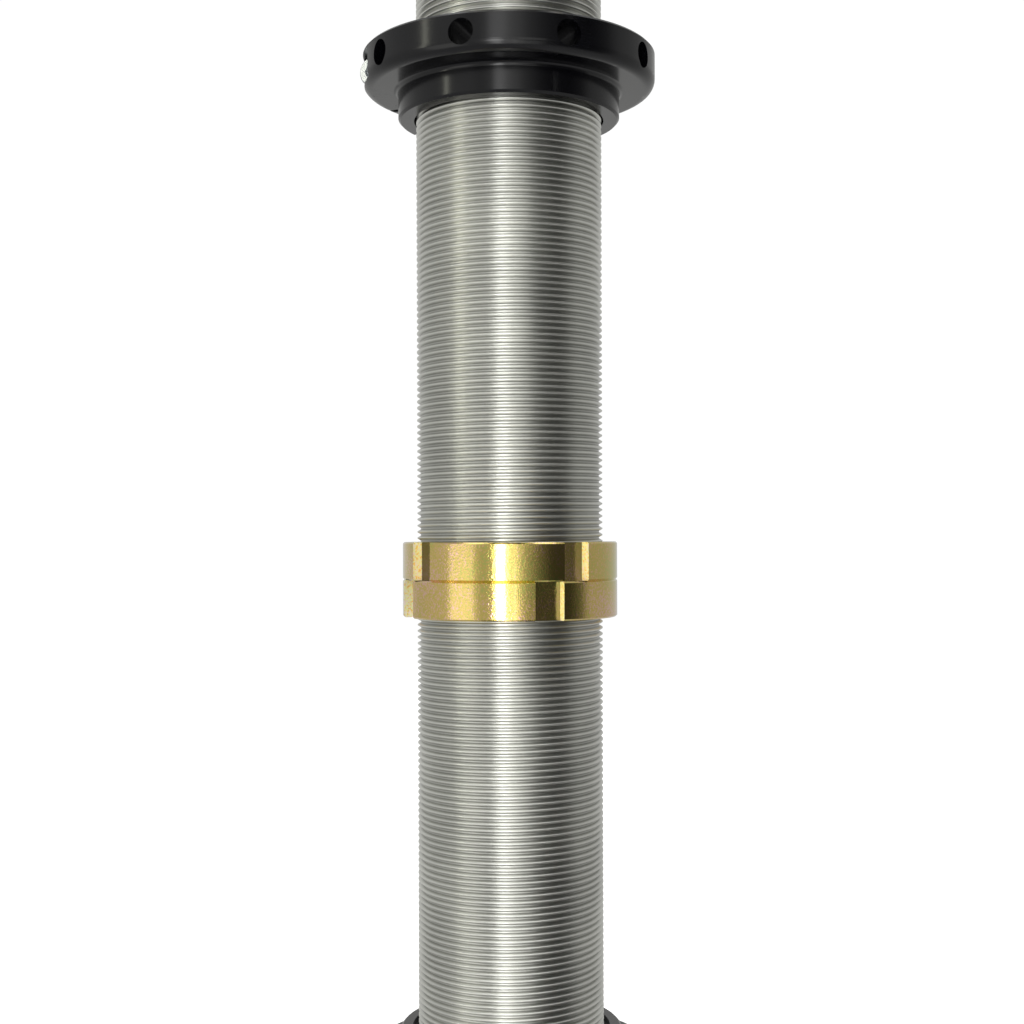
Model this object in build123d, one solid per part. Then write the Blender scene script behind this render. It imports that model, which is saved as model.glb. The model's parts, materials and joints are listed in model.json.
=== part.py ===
from build123d import *
import os
from math import acos, atan2, cos, hypot, radians, sin, sqrt

# Threaded-body coilover damper, eye to eye along Z, in millimetres.
# The origin is the centre of the upper eye, its bolt runs along Y and the rod end hangs below.
# It is drawn fully extended. All threads are plain cylinders at their outer diameter.

# Stroke and tubes
travel = 254.0
tube_od = 63.5
tube_wall = 3.175
tube_length = 452.0
tube_end_bevel = 1.3
rod_d = 22.225

# Fits and the bevels that many parts share
thread_gap = 0.05
slide_gap = 0.05
liner_gap = 0.10
socket_gap = 0.05
bore_relief = 0.65
edge = 0.8
small_edge = 0.5
big_edge = 1.2
overrun = 1.0

# Eyes and spherical bearings
eye_od = 44.45
eye_width = 20.0
seal_corner = 0.28
race_od = 30.16
race_width = 12.7
ball_d = 23.8
ball_width = 15.88
ball_bore = 15.88
bolt_d = 12.7
spacer_span = 38.1
spacer_nose_od = 17.5
spacer_foot_od = 22.2
spacer_neck = 4.0
spacer_split = 0.4
spacer_gap = 0.02
clip_thick = 1.27
clip_depth = 0.9
clip_width = 2.6
clip_mouth = 40.0

# Top cap
neck_rise = 8.8
neck_inset = 8.0
collar_over = 1.25
collar_height = 16.0
collar_bevel = 3.0
plug_length = 22.0
oring_width = 3.6
oring_depth = 2.2
oring_down = 11.0
gas_drill = 5.0

# Gas valve in the side of the top cap
valve_hex = 11.1
valve_hex_height = 6.0
valve_spot_d = 13.8
valve_shank_d = 9.5
valve_shank = 9.0
valve_stem_d = 7.7
valve_stem = 14.0
valve_bore = 5.2
core_pin_d = 1.6
core_seat = 2.0
core_taper = 1.2
core_taper_rise = 1.6
core_head_down = 4.0
core_pin_down = 1.0
valve_cap_od = 10.2
valve_cap_wall = 1.2
valve_cap_length = 13.0
valve_grip_r = 0.7
valve_grip_out = 0.25
valve_grips = 8

# Seal head, its seals and the end cap
seal_head_length = 42.0
ring_inset = 5.6
ring_thick = 2.4
ring_groove = 1.6
ring_grip = 3.0
ring_mouth = 34.0
bushing_wall = 1.6
bushing_length = 20.0
bushing_inset = 2.0
rod_clear = 0.4
seal_pocket = 4.0
seal_height = 6.5
seal_lip = 0.8
seal_lip_height = 1.0
seal_mouth = 3.6
wiper_height = 7.0
wiper_reach = 3.0
wiper_lip = 1.5
wiper_back = 1.2
wiper_wall = 2.4
seal_web = 3.0
puller_hole_d = 5.0
puller_hole_depth = 9.0
cap_grip = 12.3
cap_floor = 5.0
cap_wall = 3.25
cap_hole_d = 33.0
cap_notch_width = 8.0
cap_notch_depth = 2.6
cap_notch_height = 7.0
cap_notches = 6
cap_rim_fillet = 1.6

# Floating piston between gas and oil
gas_length = 73.0
floater_height = 24.0
floater_cup = 13.0
floater_wall = 7.0
floater_band = 6.0
floater_band_down = 4.0
floater_web = 3.0
floater_fillet = 3.0
floater_gap = 0.3
bleed_d = 8.0
bleed_head_d = 13.0
bleed_head = 4.0
bleed_socket_af = 4.8
bleed_tail = 1.0

# Damping piston, shims and the post they sit on
post_d = 12.7
piston_height = 20.0
piston_gap = 0.35
band_height = 12.0
band_wall = 2.0
band_ring_height = 4.0
band_ring_wall = 2.0
port_inset = 10.575
port_width = 5.0
port_sweep = 8.0
port_pairs = 6
port_land = 1.7
face_recess = 1.5
clamp_land_d = 20.0
recess_inset = 4.075
shim_thick = 0.4
shim_count = 5
shim_inset = 5.575
shim_small_d = 24.0
backing_thick = 3.0
backing_d = 24.0
nut_washer_thick = 2.0
piston_nut_af = 22.2
piston_nut_height = 10.0
piston_nut_bevel = 1.2
post_tip = 2.0
top_out_length = 16.3
top_out_od = 34.0
top_out_bevel = 2.0

# Rod end: bump stop, eyelet and lower perch
bump_gap = 0.5
bump_height = 28.0
bump_d = 44.0
bump_waist = 4.0
bump_waist_fillet = 2.0
bump_tip_d = 36.0
cup_floor = 3.0
cup_rim = 5.0
cup_wall = 2.0
barrel_od = 38.1
barrel_length = 16.5
shoulder_od = 48.0
shoulder_height = 5.0
shoulder_rise = 26.0
rod_thread_d = 19.05
rod_thread = 19.5
rod_thread_end = 0.5

# Spring seats: on this tube the pilot is 75.65 across, for a coil spring of 76.2 inside
pilot_wall = 6.075
spring_ledge = 12.175
pilot_bevel = 0.8
pilot_fillet = 1.5

perch_flange = 9.5
perch_pilot = 8.0
perch_seat_depth = 2.0
perch_fit = 0.2
perch_rim = 7.825
perch_slot_gap = 1.5
perch_scallop_d = 16.0
perch_scallops = 6
perch_scallop_out = 4.5
perch_slot_clear = 45.0

# Preload nut at the top of the thread, pinched shut by one screw
nut_top = -129.7
nut_flange = 12.5
nut_pilot = 9.9
nut_rim_fillet = 3.6
nut_counterbore = 5.0
spanner_d = 8.3
spanner_depth = 9.0
spanner_stations = 9
spanner_first = -57.5
pinch_wall = 7.5
pinch_rise = 0.45
pinch_slot = 2.4
screw_d = 6.0
screw_head_d = 10.0
screw_head = 6.0
screw_length = 28.0
screw_seat = 19.5
screw_socket_af = 5.0
screw_socket_depth = 3.2
screw_side_gap = 0.75
screw_end_gap = 0.2

# Stop rings that end the travel of the slider
stop_top = -296.0
stop_wall = 4.95
stop_height = 12.7
stop_bevel = 0.5
stop_notches = 4
stop_notch_width = 10.0
stop_notch_depth = 3.8
stop_upper_turn = 36.65
stop_lower_turn = 20.7

# Slider between the two springs, on a plastic liner
slider_low_pilot = 8.0
slider_flange = 9.5
slider_top_pilot = 7.8
slider_rim_fillet = 3.0
slider_lip = 2.0
slider_lip_gap = 2.0
liner_wall = 2.45
liner_length = 20.0
liner_ring_thick = 1.5
liner_ring_depth = 1.0
liner_ring_width = 2.6

# Heights worked out from the sizes above, from the upper eye down
tube_r = tube_od / 2
bore_r = tube_r - tube_wall
rod_r = rod_d / 2
eye_r = eye_od / 2
collar_r = tube_r + collar_over
pilot_r = tube_r + pilot_wall
flange_r = pilot_r + spring_ledge
collar_top = -(eye_r + neck_rise)
tube_top = collar_top - collar_height
plug_end = tube_top - plug_length
valve_line = collar_top - collar_height / 2
tube_end = tube_top - tube_length
cap_top = tube_end + cap_grip
cap_end = tube_end - cap_floor
head_ring_z = tube_end + ring_inset
head_end = head_ring_z + ring_thick
head_top = head_end + seal_head_length
floater_top = plug_end - gas_length
floater_end = floater_top - floater_height
floater_band_top = floater_top - floater_band_down
floater_ring_top = floater_band_top - floater_band - floater_web
post_base = head_top + top_out_length
bump_top = cap_end - travel - bump_gap
cup_top = bump_top - bump_height
barrel_top = cup_top - cup_floor
shoulder_top = barrel_top - barrel_length
lower_eye = shoulder_top - shoulder_rise
perch_end = shoulder_top - perch_seat_depth
thread_bore_r = tube_r + thread_gap
pinch_line = thread_bore_r + pinch_wall


def turned(points, rounds=(), bevels=()):
    # Revolves an outline of (radius, height) points; rounds and bevels name corners and sizes.
    outline = make_face(Polyline(*points, close=True))
    for (r, z), size in rounds:
        outline = fillet(outline.vertices().sort_by_distance((r, z, 0))[:1], size)
    for (r, z), size in bevels:
        outline = chamfer(outline.vertices().sort_by_distance((r, z, 0))[:1], size)
    return revolve(Plane.XZ * outline, Axis.Z)


def ring(outer_r, inner_r, low, high, bevel=0.0):
    corners = [(inner_r, low), (outer_r, low), (outer_r, high), (inner_r, high)]
    bevels = [((outer_r, low), bevel), ((outer_r, high), bevel)] if bevel else []
    return turned(corners, bevels=bevels)


def soft_ring(outer_r, inner_r, low, high):
    # A seal ring squeezed into its groove, with its four corners taken off.
    corners = [(inner_r, low), (outer_r, low), (outer_r, high), (inner_r, high)]
    size = seal_corner * min(outer_r - inner_r, high - low)
    return turned(corners, bevels=[(corner, size) for corner in corners])


def bearing(turn):
    # Turns a body drawn about Z so that its axis lies along Y.
    return Rot(-90, 0, 0) * turn


def spoke(angle):
    # Frame whose local X points outwards at an angle measured from the front (-Y) towards +X.
    return Rot(0, 0, angle - 90)


def open_ring(outer_r, inner_r, low, high, mouth):
    # A snap ring: a flat ring with a sector cut out of it on the +X side.
    reach = outer_r * 2
    half = radians(mouth / 2)
    side, across = reach * cos(half), reach * sin(half)
    wedge = make_face(Polyline((0, 0), (side, -across), (side, across), close=True))
    cut = Pos(0, 0, low - overrun) * extrude(wedge, high - low + 2 * overrun)
    return ring(outer_r, inner_r, low, high) - cut


def hexagon(across_flats, height):
    return extrude(RegularPolygon(across_flats / 2, 6, major_radius=False), height)


def eye_blank(base_half, rise):
    # Eye seen along Y: a round boss whose two flanks leave it at a tangent and spread to a
    # base at the given distance below it. The foot sinks into whatever carries the eye.
    reach = hypot(base_half, rise)
    meet = acos(eye_r / reach) - atan2(rise, base_half)
    tangent_x, tangent_z = eye_r * cos(meet), eye_r * sin(meet)
    foot = -rise - 2 * edge
    corners = [
        (tangent_x, tangent_z),
        (base_half, -rise),
        (base_half, foot),
        (-base_half, foot),
        (-base_half, -rise),
        (-tangent_x, tangent_z),
    ]
    outline = Circle(eye_r) + make_face(Polyline(*corners, close=True))
    blank = extrude(Plane.XZ * outline, eye_width / 2, both=True)
    front = blank.faces().sort_by(Axis.Y)[0]
    back = blank.faces().sort_by(Axis.Y)[-1]
    return chamfer(front.edges() + back.edges(), edge)


def eye_bore():
    # Through bore for the race, with a snap ring groove on each side of it.
    race_half = race_width / 2
    groove_r = race_od / 2 + clip_depth
    bore = Cylinder(race_od / 2, eye_width + 2 * overrun)
    for side in (1, -1):
        bore += Pos(0, 0, side * (race_half + clip_thick / 2)) * Cylinder(groove_r, clip_thick)
    return bearing(bore)


def bearing_race():
    half = race_width / 2
    mouth_r = sqrt((ball_d / 2 + slide_gap) ** 2 - half**2)
    inside = mouth_r - overrun
    blank = turned(
        [(inside, -half), (race_od / 2, -half), (race_od / 2, half), (inside, half)],
        bevels=[((race_od / 2, -half), small_edge), ((race_od / 2, half), small_edge)],
    )
    return bearing(blank - Sphere(ball_d / 2 + slide_gap))


def bearing_clips():
    half = race_width / 2
    groove_r = race_od / 2 + clip_depth
    near = open_ring(groove_r, groove_r - clip_width, half, half + clip_thick, clip_mouth)
    far = open_ring(groove_r, groove_r - clip_width, -half - clip_thick, -half, clip_mouth)
    return Compound(children=[bearing(near), bearing(far)])


def bearing_ball():
    ball = Sphere(ball_d / 2) & Cylinder(ball_d, ball_width)
    return bearing(ball - Cylinder(ball_bore / 2, ball_width + 2 * overrun))


def bearing_spacers():
    # Two flanged sleeves that meet in the ball and step its bore down to the bolt.
    foot = spacer_span / 2
    start = ball_width / 2
    sleeve = ball_bore / 2 - spacer_gap
    profile = [
        (bolt_d / 2, spacer_split / 2),
        (sleeve, spacer_split / 2),
        (sleeve, start),
        (spacer_nose_od / 2, start),
        (spacer_nose_od / 2, start + spacer_neck),
        (spacer_foot_od / 2, foot),
        (bolt_d / 2, foot),
    ]
    near = turned(profile)
    far = Rot(180, 0, 0) * near
    return Compound(children=[bearing(near), bearing(far)])


def cylinder_tube():
    groove_r = bore_r + ring_groove
    groove_top = head_end
    return turned(
        [
            (bore_r, tube_end),
            (tube_r, tube_end),
            (tube_r, tube_top),
            (bore_r, tube_top),
            (bore_r, groove_top),
            (groove_r, groove_top),
            (groove_r, head_ring_z),
            (bore_r, head_ring_z),
        ],
        bevels=[((tube_r, tube_end), tube_end_bevel), ((tube_r, tube_top), tube_end_bevel)],
    )


def on_valve_axis(body):
    # Valve pieces are drawn about Z with the cap face at zero, then laid along +X.
    return Pos(collar_r - edge, 0, valve_line) * Rot(0, 90, 0) * body


def oring_groove(middle):
    plug_r = bore_r - socket_gap
    half = oring_width / 2
    return ring(plug_r + overrun, plug_r - oring_depth, middle - half, middle + half)


def socket_oring(middle):
    # Seal ring between the tube's bore and the groove of a plug in it.
    half = oring_width / 2
    return soft_ring(bore_r, bore_r - socket_gap - oring_depth, middle - half, middle + half)


def top_cap():
    plug_r = bore_r - socket_gap
    body = turned(
        [
            (0, plug_end),
            (plug_r, plug_end),
            (plug_r, tube_top),
            (collar_r, tube_top),
            (collar_r, collar_top),
            (0, collar_top),
        ],
        bevels=[
            ((plug_r, plug_end), edge),
            ((collar_r, collar_top), collar_bevel),
            ((collar_r, tube_top), edge),
        ],
    )
    body -= oring_groove(tube_top - oring_down)
    body += eye_blank(collar_r - neck_inset, -collar_top)
    body -= eye_bore()
    body -= on_valve_axis(ring(valve_spot_d / 2, 0, 0, edge + overrun))
    body -= on_valve_axis(ring(valve_shank_d / 2, 0, -valve_shank, overrun))
    body -= on_valve_axis(ring(gas_drill / 2, 0, -collar_r, overrun))
    return body - ring(gas_drill / 2, 0, plug_end - overrun, valve_line)


def top_cap_oring():
    return socket_oring(tube_top - oring_down)


def charge_valve():
    stem_end = valve_hex_height + valve_stem
    body = hexagon(valve_hex, valve_hex_height)
    body += ring(valve_shank_d / 2, 0, -valve_shank, 0)
    body += turned(
        [(0, 0), (valve_stem_d / 2, 0), (valve_stem_d / 2, stem_end), (0, stem_end)],
        bevels=[((valve_stem_d / 2, stem_end), small_edge)],
    )
    return on_valve_axis(body - ring(valve_bore / 2, 0, -valve_shank - overrun, stem_end + overrun))


def valve_core():
    stem_end = valve_hex_height + valve_stem
    head = stem_end - core_head_down
    pin_end = stem_end - core_pin_down
    plug = turned(
        [
            (0, core_seat),
            (valve_bore / 2 - core_taper, core_seat),
            (valve_bore / 2, core_seat + core_taper_rise),
            (valve_bore / 2, head),
            (core_pin_d / 2, head),
            (core_pin_d / 2, pin_end),
            (0, pin_end),
        ]
    )
    return on_valve_axis(plug)


def valve_cap():
    start = valve_hex_height
    end = start + valve_cap_length + valve_cap_wall
    outer = valve_cap_od / 2
    body = turned(
        [
            (valve_stem_d / 2, start),
            (outer, start),
            (outer, end),
            (0, end),
            (0, start + valve_stem),
            (valve_stem_d / 2, start + valve_stem),
        ],
        bevels=[((outer, end), edge)],
    )
    grip = ring(valve_grip_r, 0, start + big_edge, end + overrun)
    for step in range(valve_grips):
        body -= Rot(0, 0, step * 360 / valve_grips) * Pos(outer + valve_grip_out, 0, 0) * grip
    return on_valve_axis(body)


def seal_head():
    outer = bore_r - socket_gap
    bushing_r = rod_r + slide_gap + bushing_wall
    hole_r = rod_r + rod_clear
    pocket_r = rod_r + seal_pocket
    bushing_low = head_top - bushing_inset - bushing_length
    seal_top = bushing_low - seal_web
    seal_low = seal_top - seal_height
    wiper_top = head_end + wiper_height
    body = turned(
        [
            (bushing_r, head_top),
            (outer, head_top),
            (outer, head_end),
            (pocket_r, head_end),
            (pocket_r, wiper_top),
            (hole_r, wiper_top),
            (hole_r, seal_low),
            (pocket_r, seal_low),
            (pocket_r, seal_top),
            (hole_r, seal_top),
            (hole_r, bushing_low),
            (bushing_r, bushing_low),
        ],
        bevels=[((outer, head_top), edge), ((outer, head_end), edge)],
    )
    body -= oring_groove(head_top - oring_down)
    hole = ring(puller_hole_d / 2, 0, head_end - overrun, head_end + puller_hole_depth)
    for turn in (90, 210, 330):
        body -= Rot(0, 0, turn) * Pos((outer + pocket_r) / 2, 0, 0) * hole
    return body


def seal_head_oring():
    return socket_oring(head_top - oring_down)


def guide_bushing():
    high = head_top - bushing_inset
    inner = rod_r + slide_gap
    return ring(inner + bushing_wall, inner, high - bushing_length, high)


def rod_seal():
    # U-cup: two lips that open towards the oil.
    high = head_top - bushing_inset - bushing_length - seal_web
    low = high - seal_height
    inner = rod_r + slide_gap
    outer = rod_r + seal_pocket
    return turned(
        [
            (inner, low),
            (outer, low),
            (outer, high - seal_lip_height),
            (outer - seal_lip, high),
            ((inner + outer) / 2, high - seal_mouth),
            (inner + seal_lip, high),
            (inner, high - seal_lip_height),
        ]
    )


def rod_wiper():
    high = head_end + wiper_height
    inner = rod_r + slide_gap
    outer = rod_r + seal_pocket
    lip_end = head_ring_z - wiper_reach
    return turned(
        [
            (inner + wiper_back, high),
            (outer, high),
            (outer, head_end),
            (inner + wiper_wall, head_end),
            (inner, lip_end),
            (inner, lip_end + wiper_lip),
            (inner + wiper_back, head_end + wiper_lip),
        ]
    )


def seal_head_ring():
    outer = bore_r + ring_groove
    return open_ring(outer, outer - ring_groove - ring_grip, head_ring_z, head_end, ring_mouth)


def lower_cap():
    outer = tube_r + cap_wall
    body = turned(
        [
            (cap_hole_d / 2, cap_end),
            (outer, cap_end),
            (outer, cap_top),
            (tube_r, cap_top),
            (tube_r, tube_end),
            (cap_hole_d / 2, tube_end),
        ],
        rounds=[((outer, cap_end), cap_rim_fillet)],
        bevels=[((outer, cap_top), edge), ((cap_hole_d / 2, cap_end), edge)],
    )
    notch = Box(cap_notch_depth * 2, cap_notch_width, cap_notch_height * 2)
    for step in range(cap_notches):
        body -= spoke((step + 0.5) * 360 / cap_notches) * Pos(outer, 0, cap_end) * notch
    return body


def floating_piston():
    outer = bore_r - floater_gap
    cup_r = outer - floater_wall
    floor_top = floater_top - floater_cup
    band_r = bore_r - slide_gap
    body = turned(
        [
            (0, floater_end),
            (outer, floater_end),
            (outer, floater_top),
            (cup_r, floater_top),
            (cup_r, floor_top),
            (0, floor_top),
        ],
        rounds=[((cup_r, floor_top), floater_fillet)],
        bevels=[((outer, floater_end), edge), ((outer, floater_top), edge), ((cup_r, floater_top), edge)],
    )
    body -= ring(outer + overrun, band_r - band_wall, floater_band_top - floater_band, floater_band_top)
    body -= ring(outer + overrun, band_r - oring_depth, floater_ring_top - oring_width, floater_ring_top)
    return body - ring(bleed_d / 2, 0, floater_end - overrun, floor_top + overrun)


def floating_piston_band():
    outer = bore_r - slide_gap
    return ring(outer, outer - band_wall, floater_band_top - floater_band, floater_band_top)


def floating_piston_oring():
    outer = bore_r - slide_gap
    return soft_ring(outer, outer - oring_depth, floater_ring_top - oring_width, floater_ring_top)


def bleed_screw():
    seat = floater_top - floater_cup
    body = ring(bleed_d / 2, 0, floater_end + bleed_tail, seat)
    head = ring(bleed_head_d / 2, 0, seat, seat + bleed_head, bevel=small_edge)
    return body + head - Pos(0, 0, seat + overrun) * hexagon(bleed_socket_af, bleed_head)


# Heights on the post, from its shoulder up
backing_top = post_base + backing_thick
low_shims_top = backing_top + shim_count * shim_thick
piston_top = low_shims_top + piston_height
high_shims_top = piston_top + shim_count * shim_thick
nut_washer_top = high_shims_top + nut_washer_thick
piston_nut_top = nut_washer_top + piston_nut_height
post_top = piston_nut_top + post_tip
rod_end = barrel_top - rod_thread + rod_thread_end


def piston_rod():
    return turned(
        [
            (0, rod_end),
            (rod_thread_d / 2, rod_end),
            (rod_thread_d / 2, barrel_top),
            (rod_r, barrel_top),
            (rod_r, post_base),
            (post_d / 2, post_base),
            (post_d / 2, post_top),
            (0, post_top),
        ],
        bevels=[
            ((rod_thread_d / 2, rod_end), big_edge),
            ((rod_r, post_base), edge),
            ((post_d / 2, post_top), edge),
        ],
    )


def port_slot(turn, width):
    # Kidney shape along the port circle, centred on the given angle.
    arc = CenterArc((0, 0), bore_r - port_inset, turn - port_sweep / 2, port_sweep)
    return SlotArc(arc, width)


def piston():
    # Ports go through in two sets. Each face has raised lands round the set that its own
    # shims close, and a recess that lets oil reach the other set past the shims.
    outer = bore_r - piston_gap
    band_mid = low_shims_top + piston_height / 2
    band_r = bore_r - slide_gap - band_wall
    body = ring(outer, post_d / 2, low_shims_top, piston_top, bevel=edge)
    body -= ring(outer + overrun, band_r, band_mid - band_height / 2, band_mid + band_height / 2)
    ring_half = band_ring_height / 2
    body -= ring(band_r + overrun, band_r - band_ring_wall, band_mid - ring_half, band_mid + ring_half)
    step = 360 / port_pairs
    face = Circle(bore_r - recess_inset) - Circle(clamp_land_d / 2)
    low_recess = face
    high_recess = face
    ports = Sketch()
    for pair in range(port_pairs):
        low_recess -= port_slot(pair * step, port_width + 2 * port_land)
        high_recess -= port_slot((pair + 0.5) * step, port_width + 2 * port_land)
        ports += port_slot(pair * step, port_width)
        ports += port_slot((pair + 0.5) * step, port_width)
    body -= Pos(0, 0, low_shims_top) * extrude(low_recess, face_recess)
    body -= Pos(0, 0, piston_top - face_recess) * extrude(high_recess, face_recess)
    body -= Pos(0, 0, low_shims_top) * extrude(ports, piston_height)
    return body


def piston_band():
    middle = low_shims_top + piston_height / 2
    outer = bore_r - slide_gap
    return ring(outer, outer - band_wall, middle - band_height / 2, middle + band_height / 2, small_edge)


def piston_oring():
    middle = low_shims_top + piston_height / 2
    outer = bore_r - slide_gap - band_wall
    half = band_ring_height / 2
    return soft_ring(outer, outer - band_ring_wall, middle - half, middle + half)


def shim_stack(face_z, direction):
    # The largest shim lies on the piston and each next one is smaller.
    largest = bore_r - shim_inset
    drop = (largest - shim_small_d / 2) / (shim_count - 1)
    shims = []
    for step in range(shim_count):
        near = face_z + direction * step * shim_thick
        far = near + direction * shim_thick
        shims.append(ring(largest - step * drop, post_d / 2, min(near, far), max(near, far)))
    return Compound(children=shims)


def compression_shims():
    return shim_stack(low_shims_top, -1)


def rebound_shims():
    return shim_stack(piston_top, 1)


def shim_washers():
    low = ring(backing_d / 2, post_d / 2, post_base, backing_top, small_edge)
    high = ring(backing_d / 2, post_d / 2, high_shims_top, nut_washer_top, small_edge)
    return Compound(children=[low, high])


def piston_nut():
    body = Pos(0, 0, nut_washer_top) * hexagon(piston_nut_af, piston_nut_height)
    crown = piston_nut_af / 2 / cos(radians(30))
    trim = ring(crown, 0, nut_washer_top, piston_nut_top, piston_nut_bevel)
    return (body & trim) - ring(post_d / 2, 0, nut_washer_top - overrun, piston_nut_top + overrun)


def top_out_spacer():
    return ring(top_out_od / 2, rod_r, head_top, post_base, top_out_bevel)


def bump_stop():
    # Moulded foam buffer with two waists.
    outer = bump_d / 2
    third = bump_height / 3
    points = [(rod_r, cup_top), (outer, cup_top)]
    for level in (1, 2):
        z = cup_top + level * third
        points += [(outer, z - bump_waist), (outer - bump_waist, z), (outer, z + bump_waist)]
    points += [(bump_tip_d / 2, bump_top), (rod_r, bump_top)]
    waists = [((outer - bump_waist, cup_top + level * third), bump_waist_fillet) for level in (1, 2)]
    return turned(points, rounds=waists)


def bump_stop_cup():
    inner = bump_d / 2
    outer = inner + cup_wall
    return turned(
        [
            (rod_r, barrel_top),
            (outer, barrel_top),
            (outer, cup_top + cup_rim),
            (inner, cup_top + cup_rim),
            (inner, cup_top),
            (rod_r, cup_top),
        ],
        bevels=[((outer, barrel_top), big_edge)],
    )


def lower_eyelet():
    barrel_r = barrel_od / 2
    shoulder_r = shoulder_od / 2
    low = shoulder_top - shoulder_height
    body = Pos(0, 0, lower_eye) * Rot(180, 0, 0) * eye_blank(shoulder_r - edge, low - lower_eye)
    body += turned(
        [
            (0, low),
            (shoulder_r, low),
            (shoulder_r, shoulder_top),
            (barrel_r, shoulder_top),
            (barrel_r, barrel_top),
            (0, barrel_top),
        ],
        bevels=[((barrel_r, barrel_top), big_edge), ((shoulder_r, low), big_edge)],
    )
    body -= Pos(0, 0, lower_eye) * eye_bore()
    return body - ring(rod_thread_d / 2, 0, barrel_top - rod_thread, barrel_top + overrun)


def spring_pilot_bevels(*corners):
    return [(corner, pilot_bevel) for corner in corners]


def lower_perch():
    # Spring seat on the eyelet shoulder. Its slot passes the rod, so it comes off sideways.
    flange_top = perch_end + perch_flange
    pilot_top = flange_top + perch_pilot
    bore = barrel_od / 2 + perch_fit
    recess = shoulder_od / 2 + perch_fit
    pocket = pilot_r - perch_rim
    body = turned(
        [
            (recess, perch_end),
            (flange_r, perch_end),
            (flange_r, flange_top),
            (pilot_r, flange_top),
            (pilot_r, pilot_top),
            (pocket, pilot_top),
            (pocket, flange_top),
            (bore, flange_top),
            (bore, shoulder_top),
            (recess, shoulder_top),
        ],
        rounds=[
            ((flange_r, perch_end), slider_rim_fillet),
            ((pilot_r, flange_top), pilot_fillet),
            ((pocket, flange_top), pilot_fillet),
        ],
        bevels=spring_pilot_bevels((pilot_r, pilot_top), (flange_r, flange_top)),
    )
    slot_height = perch_flange + perch_pilot + 2 * overrun
    slot = Box(rod_d + perch_slot_gap, 2 * flange_r, slot_height, align=(Align.CENTER, Align.MIN, Align.MIN))
    body -= Pos(0, 0, perch_end - overrun) * slot
    scallop = ring(perch_scallop_d / 2, 0, perch_end - overrun, flange_top + overrun)
    for step in range(perch_scallops):
        turn = (step + 0.5) * 360 / perch_scallops
        if abs(turn - 180) > perch_slot_clear:
            body -= spoke(turn) * Pos(flange_r + perch_scallop_out, 0, 0) * scallop
    return body


# Heights and directions of the preload nut
nut_seat = nut_top - nut_flange
nut_end = nut_seat - nut_pilot
nut_mid = (nut_top + nut_seat) / 2
station = 360 / spanner_stations
pinch_turn = spanner_first - 1.5 * station


def in_pinch_frame(body):
    # Local X runs along the clamp slot, outwards, and local Y along the screw, away from its head.
    return spoke(pinch_turn) * Pos(0, 0, nut_mid + pinch_rise) * body


def along_screw(radius, start, end):
    # Cylinder on the screw's line, between two distances from the slot, towards the head.
    length = end - start
    rod = Cylinder(radius, length, align=(Align.CENTER, Align.CENTER, Align.MIN))
    return Pos(pinch_line, start, 0) * Rot(-90, 0, 0) * rod


def preload_nut():
    counterbore_r = thread_bore_r + bore_relief
    body = turned(
        [
            (thread_bore_r, nut_end + nut_counterbore),
            (counterbore_r, nut_end + nut_counterbore),
            (counterbore_r, nut_end),
            (pilot_r, nut_end),
            (pilot_r, nut_seat),
            (flange_r, nut_seat),
            (flange_r, nut_top),
            (thread_bore_r, nut_top),
        ],
        rounds=[((flange_r, nut_seat), nut_rim_fillet), ((pilot_r, nut_seat), pilot_fillet)],
        bevels=spring_pilot_bevels((pilot_r, nut_end), (flange_r, nut_top), (thread_bore_r, nut_top)),
    )
    hole = Rot(0, 90, 0) * Cylinder(spanner_d / 2, spanner_depth * 2)
    for step in range(spanner_stations):
        turn = spanner_first + step * station
        if step != spanner_stations - 1:
            body -= spoke(turn) * Pos(flange_r, 0, nut_mid) * hole
    slot_height = 2 * (nut_flange + nut_pilot)
    slot = Box(2 * flange_r, pinch_slot, slot_height, align=(Align.MIN, Align.CENTER, Align.CENTER))
    body -= in_pinch_frame(slot)
    pocket_height = screw_head_d + 2 * screw_end_gap
    pocket = Box(2 * flange_r, 2 * flange_r, pocket_height, align=(Align.MIN, Align.MIN, Align.CENTER))
    pocket_wall = pinch_line - screw_head_d / 2 - screw_side_gap
    body -= in_pinch_frame(Pos(pocket_wall, screw_seat, 0) * pocket)
    shank = along_screw(screw_d / 2, screw_seat - screw_length, screw_seat + overrun)
    return body - in_pinch_frame(shank)


def pinch_screw():
    body = along_screw(screw_d / 2, screw_seat - screw_length, screw_seat)
    body += along_screw(screw_head_d / 2, screw_seat, screw_seat + screw_head)
    face = body.faces().sort_by(Axis.Y)[-1]
    body = chamfer(face.edges(), small_edge)
    socket = Pos(pinch_line, screw_seat + screw_head - screw_socket_depth, 0) * Rot(-90, 0, 0)
    return in_pinch_frame(body - socket * hexagon(screw_socket_af, screw_socket_depth + overrun))


def stop_ring(top, turn):
    low = top - stop_height
    outer = tube_r + stop_wall
    corners = [(outer, low), (outer, top), (thread_bore_r, low), (thread_bore_r, top)]
    body = turned(
        [(thread_bore_r, low), (outer, low), (outer, top), (thread_bore_r, top)],
        bevels=[(corner, stop_bevel) for corner in corners],
    )
    notch = Box(stop_notch_depth * 2, stop_notch_width, stop_height * 3)
    for step in range(stop_notches):
        body -= spoke(turn + step * 360 / stop_notches) * Pos(outer, 0, low) * notch
    return body


def stop_ring_upper():
    return stop_ring(stop_top, stop_upper_turn)


def stop_ring_lower():
    return stop_ring(stop_top - stop_height, stop_lower_turn)


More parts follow.
